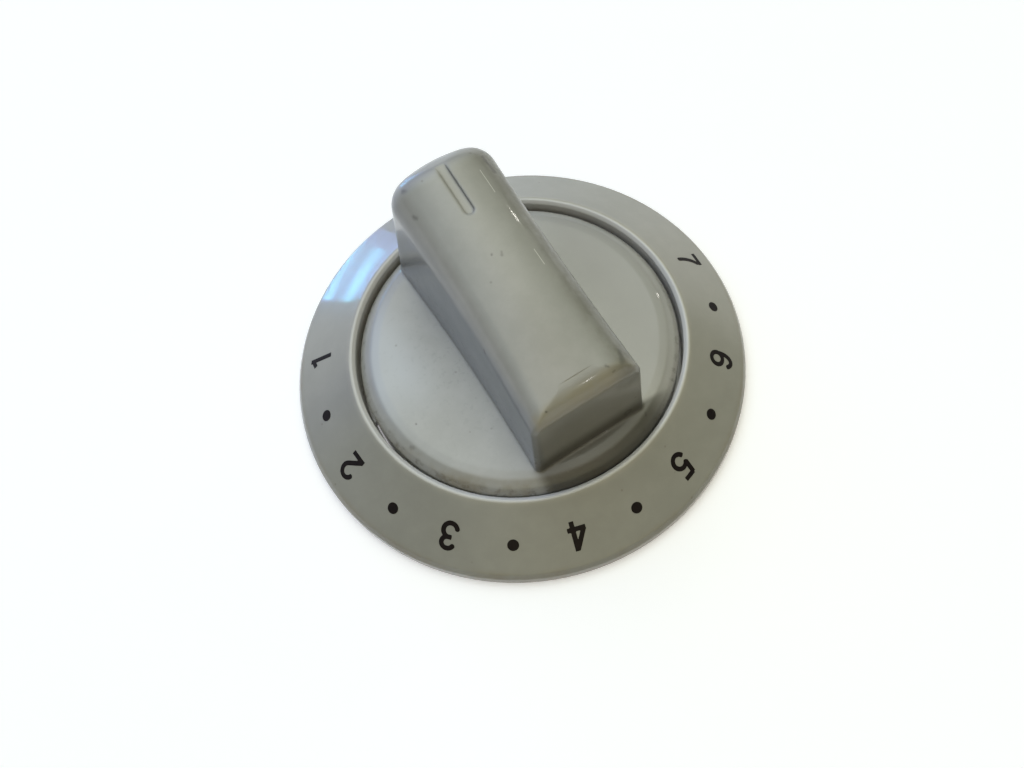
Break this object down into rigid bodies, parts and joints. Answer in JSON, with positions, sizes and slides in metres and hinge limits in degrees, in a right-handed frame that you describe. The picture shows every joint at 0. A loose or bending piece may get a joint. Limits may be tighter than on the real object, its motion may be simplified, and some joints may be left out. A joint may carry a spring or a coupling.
{
  "type": "grill control knob",
  "caption": "Round control knob with a tall bar grip that rises to a pointer end, and a numbered conical dial ring clipped round its disc.",
  "frame": {"origin": "centre of the dial ring's rear rim plane, on the knob's turning axis", "axes": "+Z along the turning axis out of the face, +Y towards the pointer end of the bar grip, +X to the right when the pointer is at the top"},
  "size_m": [0.062, 0.062, 0.0295],
  "materials": {
    "knob_plastic": "glossy moulded",
    "ring_plastic": "glossy moulded with printed numbers",
    "spring_steel": "plain strip"
  },
  "bodies": {
    "root": {"knob_body": "knob_plastic", "dial_ring": "ring_plastic", "shaft_spring_clip": "spring_steel"}
  },
  "joints": []
}
